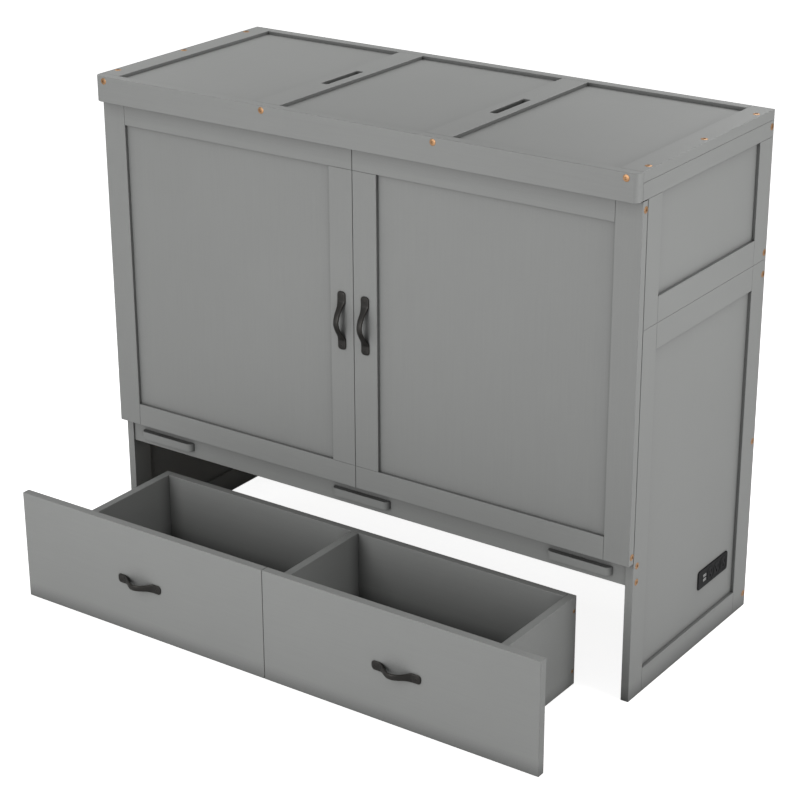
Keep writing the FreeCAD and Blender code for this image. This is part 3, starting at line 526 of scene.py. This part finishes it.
block_side_gap = 34.5 * mm
block_length = 164 * mm
hinge_screw_spread = 24 * mm
hinge_screw_stagger = 3 * mm
hinge_screw_height = 0.3 * mm
knuckle_radius = 3 * mm
hinge_offset = side_inner - block_side_gap - block_length / 2
panel_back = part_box("door_panels")[1].y
panel_leaf_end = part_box("panel_hinge_leaves")[1]
apron_leaf_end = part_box("apron_hinge_leaves")[1]
panel_leaf_screws = []
apron_leaf_screws = []
for hinge_middle in (-hinge_offset, 0, hinge_offset):
    for index in (-1, 0, 1):
        x = hinge_middle + index * hinge_screw_spread
        stagger = hinge_screw_stagger if index == 0 else -hinge_screw_stagger
        z = (deck_height + panel_leaf_end.z) / 2 + knuckle_radius + stagger
        panel_leaf_screws.append(((x, panel_back, z), backwards))
        y = (panel_leaf_end.y + apron_leaf_end.y) / 2 + stagger
        apron_leaf_screws.append(((x, y, deck_height), upwards))
small_screws("panel_hinge_screws", "front_panel", panel_leaf_screws, hinge_screw_height)
small_screws("apron_hinge_screws", "cabinet", apron_leaf_screws, hinge_screw_height)


# Magnet catches: a white plastic case inside each side, screwed to the stile, and a steel strike
# plate on the back of the front panel.
casing_white = (0.46, 0.46, 0.455)
plastic_gloss = 0.22
moulded_arris = 0.5 * mm


def moulded_plastic(name, colour, roughness, grain_depth):
    """Moulded plastic with a fine spark-eroded grain."""
    material, tree, shader, place = new_finish(name)
    shader.inputs["Specular IOR Level"].default_value = plastic_gloss
    grain = noise(tree, place, scale=1400.0)
    clouds = noise(tree, place, scale=35.0)
    tone = colour_mix(tree, clouds, opaque(colour, 0.95), opaque(colour, 1.05))
    tree.links.new(tone, shader.inputs["Base Color"])
    uneven = spread(tree, grain, low=roughness - 0.06, high=roughness + 0.06)
    tree.links.new(uneven, shader.inputs["Roughness"])
    grained = bump(tree, grain, grain_depth, strength=0.3, base=rounded_edges(tree, moulded_arris))
    tree.links.new(grained, shader.inputs["Normal"])
    return material


white_plastic = moulded_plastic("white_plastic", casing_white, roughness=0.45,
                                grain_depth=0.03 * mm)
finish_nodes(white_plastic, "magnet_catches")
finish_nodes(zinc, "strike_plates")

catch_low, catch_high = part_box("magnet_catches")
catch_middle = (catch_low + catch_high) / 2
strike_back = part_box("strike_plates")[1].y
catch_width = 14 * mm
catch_screw_spacing = 30 * mm
strike_screw_height = 0.25 * mm
catch_screws = []
strike_screws = []
for side in both_sides:
    for end in both_sides:
        z = catch_middle.z + end * catch_screw_spacing / 2
        face = side * (side_inner - catch_width)
        catch_screws.append(((face, catch_middle.y, z), (-side, 0, 0)))
        strike_middle = side * (side_inner - catch_width / 2)
        strike_screws.append(((strike_middle, strike_back, z), backwards))
small_screws("catch_screws", "cabinet", catch_screws)
small_screws("strike_screws", "front_panel", strike_screws, strike_screw_height)


# Socket unit: a black moulded plate in the right-hand panel. Each of its three outlets has two
# slots and a round earth hole inside a raised rim, and beside them two pale grey charging ports
# stand one above the other. Its housing and cable gland are behind the panel.
socket_black = (0.008, 0.008, 0.009)
black_plastic = moulded_plastic("black_plastic", socket_black, roughness=0.55,
                                grain_depth=0.04 * mm)
finish_nodes(black_plastic, "socket_housing", "cable_gland")
finish_nodes(white_plastic, "charging_ports")

plate_low, plate_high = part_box("socket_plate")
socket_middle = (plate_low + plate_high) / 2
outlet_pitch = 33 * mm
outlet_shift = 19 * mm
outlet_wide = 29 * mm
outlet_high = 34 * mm
outlet_corner = 11 * mm
rim_bead = 0.7 * mm


def outlet_rim_tree():
    """A round bead along a round-cornered outline at each point, standing in the YZ plane."""
    tree, given = new_tree("outlet_rims", {"Width": "Float", "Height": "Float", "Corner": "Float",
                                           "Bead": "Float", "Plastic": "Material"})
    outline = node(tree, "GeometryNodeCurvePrimitiveQuadrilateral",
                   {"Width": given["Width"], "Height": given["Height"]})
    outline = node(tree, "GeometryNodeFilletCurve",
                   {"Curve": outline.outputs["Curve"], "Radius": given["Corner"], "Count": 10},
                   mode="POLY")
    section = node(tree, "GeometryNodeCurvePrimitiveCircle",
                   {"Resolution": 10, "Radius": given["Bead"]})
    bead = node(tree, "GeometryNodeCurveToMesh",
                {"Curve": outline.outputs["Curve"], "Profile Curve": section.outputs["Curve"]})
    smooth = node(tree, "GeometryNodeSetShadeSmooth",
                  {"Geometry": bead.outputs["Mesh"], "Shade Smooth": True})
    upright_turn = (math.pi / 2, 0.0, math.pi / 2)
    rims = node(tree, "GeometryNodeInstanceOnPoints",
                {"Points": given["Geometry"], "Instance": smooth.outputs["Geometry"],
                 "Rotation": upright_turn})
    end_tree(tree, real_with_finish(tree, rims.outputs["Instances"], given["Plastic"]))
    return tree


lying_along_x = (0.0, math.pi / 2, 0.0)
slot_spacing = 12.7 * mm
slot_high = 8 * mm
slot_wide = 1.8 * mm
slot_rise = 3 * mm
earth_drop = 7.8 * mm
earth_radius = 2.4 * mm
slot_depth = 2 * mm
weld_distance = 0.01 * mm
rightwards = (1, 0, 0)


def socket_face_tree():
    """Cuts two slots and a round earth hole at each point into the plate that comes in."""
    tree, given = new_tree("socket_face", {"Places": "Object", "Spacing": "Float",
                                           "Slot": "Vector", "Rise": "Float", "Drop": "Float",
                                           "Earth": "Float", "Depth": "Float",
                                           "Plastic": "Material"})
    holes = node(tree, "GeometryNodeJoinGeometry")
    for share in (0.5, -0.5):
        slot = node(tree, "GeometryNodeMeshCube", {"Size": given["Slot"]}).outputs["Mesh"]
        across = reckon(tree, "MULTIPLY", given["Spacing"], share)
        moved = node(tree, "GeometryNodeTransform",
                     {"Geometry": slot, "Translation": vector(tree, Y=across, Z=given["Rise"])})
        tree.links.new(moved.outputs["Geometry"], holes.inputs["Geometry"])
    deep = reckon(tree, "MULTIPLY", given["Depth"], 2.0)
    earth = node(tree, "GeometryNodeMeshCylinder",
                 {"Vertices": 20, "Radius": given["Earth"], "Depth": deep}).outputs["Mesh"]
    below = vector(tree, Z=reckon(tree, "MULTIPLY", given["Drop"], -1.0))
    moved = node(tree, "GeometryNodeTransform", {"Geometry": earth, "Translation": below,
                                                 "Rotation": lying_along_x})
    tree.links.new(moved.outputs["Geometry"], holes.inputs["Geometry"])
    places = node(tree, "GeometryNodeObjectInfo", {"Object": given["Places"]}).outputs["Geometry"]
    cutters = node(tree, "GeometryNodeInstanceOnPoints",
                   {"Points": places, "Instance": holes.outputs["Geometry"]}).outputs["Instances"]
    cutters = node(tree, "GeometryNodeRealizeInstances", {"Geometry": cutters}).outputs["Geometry"]
    cut = node(tree, "GeometryNodeMeshBoolean", operation="DIFFERENCE")
    tree.links.new(given["Geometry"], cut.inputs["Mesh 1"])
    tree.links.new(cutters, cut.inputs["Mesh 2"])
    end_tree(tree, real_with_finish(tree, cut.outputs["Mesh"], given["Plastic"]))
    return tree


def welded_copy(name):
    """A CAD node's mesh as a new one, with its loose triangles joined."""
    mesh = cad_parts[name].data.copy()
    shape = bmesh.new()
    shape.from_mesh(mesh)
    bmesh.ops.remove_doubles(shape, verts=shape.verts, dist=weld_distance)
    shape.to_mesh(mesh)
    shape.free()
    return mesh


outlet_places = [((plate_high.x, socket_middle.y + outlet_shift + index * outlet_pitch,
                   socket_middle.z), rightwards) for index in (-1, 0, 1)]
outlet_spots = bpy.data.objects.new("outlet_spots", seed_points("outlet_spots", outlet_places))
bpy.context.scene.collection.objects.link(outlet_spots)
socket_face = grown("socket_face", welded_copy("socket_plate"), socket_face_tree(),
                    {"Places": outlet_spots, "Spacing": slot_spacing,
                     "Slot": (2 * slot_depth, slot_wide, slot_high), "Rise": slot_rise,
                     "Drop": earth_drop, "Earth": earth_radius, "Depth": slot_depth,
                     "Plastic": black_plastic})
bpy.data.objects.remove(outlet_spots)
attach(socket_face, "cabinet")
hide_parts("socket_plate")
outlet_rims = grown("outlet_rims", seed_points("outlet_rims", outlet_places), outlet_rim_tree(),
                    {"Width": outlet_wide, "Height": outlet_high, "Corner": outlet_corner,
                     "Bead": rim_bead, "Plastic": black_plastic})
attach(outlet_rims, "cabinet")


# Front panel: two framed halves, painted like the sides, and joined on the back by steel plates
# that are let in and screwed.
finish_nodes(paint["z"], "door_outer_stiles", "door_centre_stiles", "door_panels")
finish_nodes(paint["x"], "door_top_rails", "door_bottom_rails")
finish_nodes(zinc, "joining_plates")

join_low, join_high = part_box("joining_plates")
join_count = 3
join_height = 30 * mm
join_screw_inner = 16 * mm
join_screw_outer = 46 * mm
join_screw_height = 0.4 * mm
join_pitch = (join_high.z - join_low.z - join_height) / (join_count - 1)
join_screw_places = []
for index in range(join_count):
    z = join_low.z + join_height / 2 + index * join_pitch
    for x in (-join_screw_outer, -join_screw_inner, join_screw_inner, join_screw_outer):
        join_screw_places.append(((x, panel_back, z), backwards))
small_screws("joining_screws", "front_panel", join_screw_places, join_screw_height)


# Bow handles: cast iron, blackened and waxed, each in one piece. A bar rises in a bow between
# two flat feet, and a black screw holds each foot. This pair stands upright on the front panel.
iron_black = (0.034, 0.033, 0.031)
iron_rubbed = (0.090, 0.078, 0.064)
iron_painted_shade_reach = 25 * mm


def black_iron():
    """Blackened cast iron, slightly dimpled and rubbed where it stands proud, with painted shade
    in its hollows.
    """
    material, tree, shader, place = new_finish("black_iron")
    shader.inputs["Metallic"].default_value = 0.55
    dimples = noise(tree, place, scale=230.0)
    pits = noise(tree, place, scale=900.0, detail=3.0)
    proud = node(tree, "ShaderNodeNewGeometry").outputs["Pointiness"]
    rubbed = spread(tree, proud, low=0.0, high=0.8, start=0.5, end=0.62)
    waxed = colour_mix(tree, rubbed, opaque(iron_black), opaque(iron_rubbed))
    # Painted shade: the iron goes near black where the bar and feet close the surface in, as under
    # the bow.
    shaded = painted_crease_shade(tree, iron_painted_shade_reach, opaque(iron_black, 0.1), waxed)
    tree.links.new(shaded, shader.inputs["Base Color"])
    tree.links.new(spread(tree, dimples, low=0.36, high=0.58), shader.inputs["Roughness"])
    cast = bump(tree, dimples, depth=0.6 * mm, strength=0.35)
    pitted = bump(tree, pits, depth=0.1 * mm, strength=0.3, base=cast)
    tree.links.new(pitted, shader.inputs["Normal"])
    return material


iron = black_iron()
door_handle_length = 142 * mm
foot_length = 22 * mm
foot_width = 22 * mm
foot_corner = 8 * mm
foot_thick = 3.5 * mm
handle_reach = 27 * mm
bar_taper = 18 * mm
bar_thick = 5.5 * mm
bar_ends = 15 * mm
bar_middle = 14 * mm
bow_fullness = 1.3
ring_squareness = 0.62
foot_end_slope = 0.5
foot_screw_radius = 3.4 * mm
foot_screw_height = 0.9 * mm
foot_screw_seat = foot_thick * 0.96


def bow_rise(x, half_span):
    """The bow's height as a share of its crest, at a distance from the middle."""
    return math.cos(math.pi * x / (2 * half_span)) ** bow_fullness if abs(x) < half_span else 0.0


def past_foot(x, length):
    """How far along the rounded end of a foot a place is, from 0 to 1."""
    return max(0.0, abs(x) - length / 2 + foot_corner) / foot_corner


def bar_depths(x, length):
    """How far the handle's back and front stand from the board."""
    span = length / 2 - foot_length
    behind = (handle_reach - bar_thick) * bow_rise(x, span - bar_thick)
    in_front = foot_thick + (handle_reach - foot_thick) * bow_rise(x, span)
    return behind, in_front * (1 - foot_end_slope * past_foot(x, length) ** 3)


def bar_half_width(x, length):
    """Half the handle's width: a bar that is narrowest in the middle and widens into the feet."""
    bar_end = length / 2 - foot_length - bar_taper
    bar = bar_middle + (bar_ends - bar_middle) * min(1, (x / bar_end) ** 2)
    share = min(1, max(0, (abs(x) - bar_end) / bar_taper))
    half = (bar + (foot_width - bar) * share * share * (3 - 2 * share)) / 2
    return half - foot_corner * (1 - math.sqrt(1 - min(1, past_foot(x, length)) ** 2))


def bow_handle_parts(place, length):
    """Rings of points and faces of a handle; place takes (along, out, across) to the bed."""
    stations = 120
    ring_size = 24
    points = []
    faces = []
    for station in range(stations + 1):
        x = -length / 2 * math.cos(math.pi * station / stations)
        behind, in_front = bar_depths(x, length)
        half_across = bar_half_width(x, length)
        for index in range(ring_size):
            angle = 2 * math.pi * index / ring_size
            squared = [math.copysign(abs(part) ** ring_squareness, part)
                       for part in (math.cos(angle), math.sin(angle))]
            out = (in_front + behind) / 2 + (in_front - behind) / 2 * squared[0]
            points.append(place(x, out, half_across * squared[1]))
    for ring in range(stations):
        for index in range(ring_size):
            after = (index + 1) % ring_size
            first = ring * ring_size
            faces.append((first + index, first + after, first + ring_size + after,
                          first + ring_size + index))
    faces.append(tuple(reversed(range(ring_size))))
    faces.append(tuple(range(stations * ring_size, (stations + 1) * ring_size)))
    return points, faces


def handle_pair(name, body, replaced, places, length):
    """Two bow handles in one mesh, with its faces turned outwards."""
    mesh = bpy.data.meshes.new(name)
    points = []
    faces = []
    for place in places:
        own_points, own_faces = bow_handle_parts(place, length)
        faces += [tuple(index + len(points) for index in face) for face in own_faces]
        points += own_points
    mesh.from_pydata(points, [], faces)
    shape = bmesh.new()
    shape.from_mesh(mesh)
    bmesh.ops.recalc_face_normals(shape, faces=shape.faces)
    shape.to_mesh(mesh)
    shape.free()
    mesh.shade_smooth()
    mesh.materials.append(iron)
    pair = bpy.data.objects.new(name, mesh)
    bpy.context.scene.collection.objects.link(pair)
    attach(pair, body)
    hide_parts(replaced)


panel_recess = 8 * mm
door_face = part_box("door_panels")[0].y - panel_recess
forwards = (0, -1, 0)
door_handle_inset = 33 * mm
door_handle_height = 762 * mm


def on_door(side):
    """Places an upright handle on the front panel."""
    middle = side * door_handle_inset
    return lambda along, out, across: (middle + across, door_face - out,
                                       door_handle_height + along)


def foot_screws(name, body, places, length):
    """A black screw in the middle of each foot."""
    spots = [(place(side * (length - foot_length) / 2, foot_screw_seat, 0), forwards)
             for place in places for side in both_sides]
    small_screws(name, body, spots, foot_screw_height, foot_screw_radius, iron)


door_places = [on_door(side) for side in both_sides]
handle_pair("door_bow_handles", "front_panel", "door_handles", door_places, door_handle_length)
foot_screws("door_handle_screws", "front_panel", door_places, door_handle_length)


# Hood: the upper side frames and back, painted like the rest, which lift off in one unit with
# the lid. Four plain pine dowels locate it on the lower frames.
finish_nodes(paint["z"], "hood_stiles", "hood_side_panels", "hood_back_mullion",
             "hood_back_panels")
finish_nodes(paint["y"], "hood_rails")
finish_nodes(paint["x"], "hood_back_rail", "lid_back_batten")
finish_nodes(pine["x"], "hood_dowels")


# Lid: a painted fascia with rounded ends, and a frame of flat boards round three sunk panels,
# bolted down on the hood's sides. The two mullions have a round-ended hand slot each.
finish_nodes(paint["x"], "lid_fascia", "lid_back_rail", "lid_bearers")
finish_nodes(paint["y"], "lid_side_rails", "lid_end_stiles", "lid_mullions", "lid_panels")


# Drawer: two front boards on a painted box with a divider. Its bow handles lie level and are a
# little shorter than the others, and bare pine bearers under its bottoms carry the casters.
finish_nodes(paint["x"], "drawer_fronts", "drawer_box_ends", "drawer_bottoms")
finish_nodes(paint["y"], "drawer_sides", "drawer_divider")
finish_nodes(pine["x"], "drawer_bearers")

drawer_handle_length = 131 * mm
drawer_handle_offset = 370 * mm
drawer_handle_height = 139 * mm
drawer_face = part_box("drawer_fronts")[0].y


def on_drawer(side):
    """Places a level handle on the drawer's front."""
    middle = side * drawer_handle_offset
    return lambda along, out, across: (middle + along, drawer_face - out,
                                       drawer_handle_height + across)


drawer_places = [on_drawer(side) for side in both_sides]
handle_pair("drawer_bow_handles", "drawer", "drawer_handles", drawer_places, drawer_handle_length)
foot_screws("drawer_handle_screws", "drawer", drawer_places, drawer_handle_length)


# Casters: a grey rubber tyre on a pale nylon hub turns on a steel axle in a folded steel
# bracket, which four screws hold under the bearer.
finish_nodes(zinc, "caster_brackets", "caster_axles")
tyre_grey = (0.060, 0.060, 0.063)
nylon_grey = (0.34, 0.34, 0.33)
rubber = moulded_plastic("tyre_rubber", tyre_grey, roughness=0.7, grain_depth=0.05 * mm)
nylon = moulded_plastic("hub_nylon", nylon_grey, roughness=0.5, grain_depth=0.03 * mm)
wheel_facets = 48
tyre_thick = 5 * mm
tyre_round = 1.8 * mm
hub_inset = 2 * mm
axle_radius = 3.1 * mm


def wheel_tree():
    """A tyre and a hub turned about the X axis at each point."""
    tree, given = new_tree("caster_wheel", {"Radius": "Float", "Width": "Float", "Tyre": "Float",
                                            "Round": "Float", "Bore": "Float", "Inset": "Float",
                                            "Rubber": "Material", "Nylon": "Material"})
    rim_radius = reckon(tree, "SUBTRACT", given["Radius"], given["Tyre"])
    rings = []
    for inside, outside, sunk_faces, material in (
            (rim_radius, given["Radius"], 0.0, given["Rubber"]),
            (given["Bore"], rim_radius, 2.0, given["Nylon"])):
        middle = reckon(tree, "MULTIPLY", reckon(tree, "ADD", inside, outside), 0.5)
        thick = reckon(tree, "SUBTRACT", outside, inside)
        sunk = reckon(tree, "MULTIPLY", given["Inset"], sunk_faces)
        wide = reckon(tree, "SUBTRACT", given["Width"], sunk)
        section = node(tree, "GeometryNodeCurvePrimitiveQuadrilateral",
                       {"Width": thick, "Height": wide})
        section = node(tree, "GeometryNodeFilletCurve",
                       {"Curve": section.outputs["Curve"], "Radius": given["Round"], "Count": 4},
                       mode="POLY")
        circle = node(tree, "GeometryNodeCurvePrimitiveCircle",
                      {"Resolution": wheel_facets, "Radius": middle})
        ring = node(tree, "GeometryNodeCurveToMesh",
                    {"Curve": circle.outputs["Curve"], "Profile Curve": section.outputs["Curve"]})
        smooth = node(tree, "GeometryNodeSetShadeSmooth",
                      {"Geometry": ring.outputs["Mesh"], "Shade Smooth": True})
        rings.append(node(tree, "GeometryNodeSetMaterial",
                          {"Geometry": smooth.outputs["Geometry"], "Material": material}
                          ).outputs["Geometry"])
    whole = node(tree, "GeometryNodeJoinGeometry")
    for ring in rings:
        tree.links.new(ring, whole.inputs["Geometry"])
    wheels = node(tree, "GeometryNodeInstanceOnPoints",
                  {"Points": given["Geometry"], "Instance": whole.outputs["Geometry"],
                   "Rotation": lying_along_x})
    real = node(tree, "GeometryNodeRealizeInstances", {"Geometry": wheels.outputs["Instances"]})
    end_tree(tree, real.outputs["Geometry"])
    return tree


turned_wheel = wheel_tree()
bracket_thick = 2 * mm
bracket_screw_x = 15 * mm
bracket_screw_y = 16 * mm
bracket_screw_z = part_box("caster_brackets")[1].z - bracket_thick
downwards = (0, 0, -1)
bracket_screws = []
for row in ("front", "back"):
    for hand in ("left", "right"):
        old = "wheel_" + row + "_" + hand
        low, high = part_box(old)
        middle = (low + high) / 2
        wheel = grown("caster_" + old, seed_points(old, [(middle, rightwards)]), turned_wheel,
                      {"Radius": (high.z - low.z) / 2, "Width": high.x - low.x,
                       "Tyre": tyre_thick, "Round": tyre_round, "Bore": axle_radius,
                       "Inset": hub_inset, "Rubber": rubber, "Nylon": nylon})
        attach(wheel, "caster_" + row + "_" + hand)
        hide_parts(old)
        for across in both_sides:
            for along in both_sides:
                bracket_screws.append(((middle.x + across * bracket_screw_x,
                                        middle.y + along * bracket_screw_y, bracket_screw_z),
                                       downwards))
small_screws("caster_screws", "drawer", bracket_screws)


# Bolts: bronze-coloured steel with a domed head and a hexagon socket. They draw the frames and
# the lid together, and smaller ones hold the back of the drawer's box.
bronze_bright = (0.62, 0.37, 0.19)
bronze_deep = (0.40, 0.20, 0.09)
socket_painted_shade = (0.03, 0.015, 0.01)
socket_painted_shade_reach = 3 * mm


def bronze_plate():
    """Bronze-coloured plating, deeper where it has been handled less, with painted shade in the
    socket.
    """
    material, tree, shader, place = new_finish("bronze_plate")
    shader.inputs["Metallic"].default_value = 0.6
    clouds = noise(tree, place, scale=160.0, detail=3.0)
    plating = colour_mix(tree, clouds, opaque(bronze_deep), opaque(bronze_bright))
    # Painted shade: near black down in the hexagon socket and round the foot of the head.
    plating_with_painted_shade = painted_crease_shade(tree, socket_painted_shade_reach, opaque(socket_painted_shade), plating)
    tree.links.new(plating_with_painted_shade, shader.inputs["Base Color"])
    fine = noise(tree, place, scale=1100.0, detail=3.0)
    tree.links.new(spread(tree, fine, low=0.3, high=0.5), shader.inputs["Roughness"])
    tree.links.new(bump(tree, fine, depth=0.04 * mm, strength=0.3), shader.inputs["Normal"])
    return material


bronze = bronze_plate()
hexagon_heads = fastener_tree("hexagon_heads", recess_sides=6)
head_radius = 8 * mm
head_height = 1.2 * mm
socket_radius = 3.4 * mm
socket_depth = 1.1 * mm
small_scale = 0.6


def on_both_sides(y, z, reach=half_width):
    """A bolt in the same place on the left and on the right."""
    return [((side * reach, y, z), (side, 0, 0)) for side in both_sides]


def bolts(name, body, replaced, places, scale=1.0):
    """Hexagon-socket bolts that ride on a body."""
    heads = grown(name, seed_points(name, places), hexagon_heads,
                  {"Radius": head_radius * scale, "Height": head_height * scale,
                   "Recess": socket_radius * scale, "Recess Depth": socket_depth * scale,
                   "Seed": len(places), "Metal": bronze})
    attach(heads, body)
    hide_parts(replaced)


back_rail_middles = (35 * mm, 439 * mm, 857 * mm)
apron_bolt_spacing = 40 * mm
back_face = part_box("side_back_stiles")[1].y
back_bolt_y = back_face - board_thick / 2
apron_low, apron_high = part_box("apron")
apron_middle = (apron_low + apron_high) / 2
cabinet_places = []
for z in back_rail_middles:
    cabinet_places += on_both_sides(back_bolt_y, z)
for end in both_sides:
    cabinet_places += on_both_sides(apron_middle.y, apron_middle.z + end * apron_bolt_spacing / 2)
bolts("cabinet_bolt_heads", "cabinet", "cabinet_bolts", cabinet_places)

door_bolt_drop = 19.5 * mm
door_bolt_depth = 12 * mm
door_low, door_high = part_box("door_outer_stiles")
door_bolt_places = []
for z in (door_low.z + door_bolt_drop, door_high.z - door_bolt_drop):
    door_bolt_places += on_both_sides(door_low.y + door_bolt_depth, z)
bolts("door_bolt_heads", "front_panel", "door_bolts", door_bolt_places)

lid_thick = 24 * mm
hood_back_rail = 35 * mm
lid_bearer_height = 30 * mm
fascia_bolt_inset = 28 * mm
lid_mullion_centre = 234 * mm
lid_bolt_inset = 14.5 * mm
lid_bolt_front = 20 * mm
lid_bolt_middle = 286 * mm
lid_bolt_back = 64 * mm
split_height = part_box("side_front_stiles")[1].z
stile_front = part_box("hood_stiles")[0].y
fascia_low, fascia_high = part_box("lid_fascia")
lid_under = fascia_high.z - lid_thick
hood_places = on_both_sides(back_bolt_y, split_height + hood_back_rail / 2)
hood_places += on_both_sides(back_bolt_y, lid_under - lid_bearer_height / 2)
for side in both_sides:
    for x in (half_width - fascia_bolt_inset, lid_mullion_centre):
        hood_places.append(((side * x, fascia_low.y, lid_under + lid_thick / 2), forwards))
    for y in (stile_front + lid_bolt_front, door_face + lid_bolt_middle,
              back_face - lid_bolt_back):
        hood_places.append(((side * (half_width - lid_bolt_inset), y, fascia_high.z), upwards))
bolts("hood_bolt_heads", "hood", "hood_bolts", hood_places)

box_bolt_drop = 36 * mm
side_low, side_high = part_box("drawer_sides")
box_bolt_y = side_high.y - board_thick / 2
drawer_bolt_places = []
for z in (side_low.z + box_bolt_drop, side_high.z - box_bolt_drop):
    drawer_bolt_places += on_both_sides(box_bolt_y, z, side_high.x)
bolts("drawer_bolt_heads", "drawer", "drawer_screws", drawer_bolt_places, small_scale)
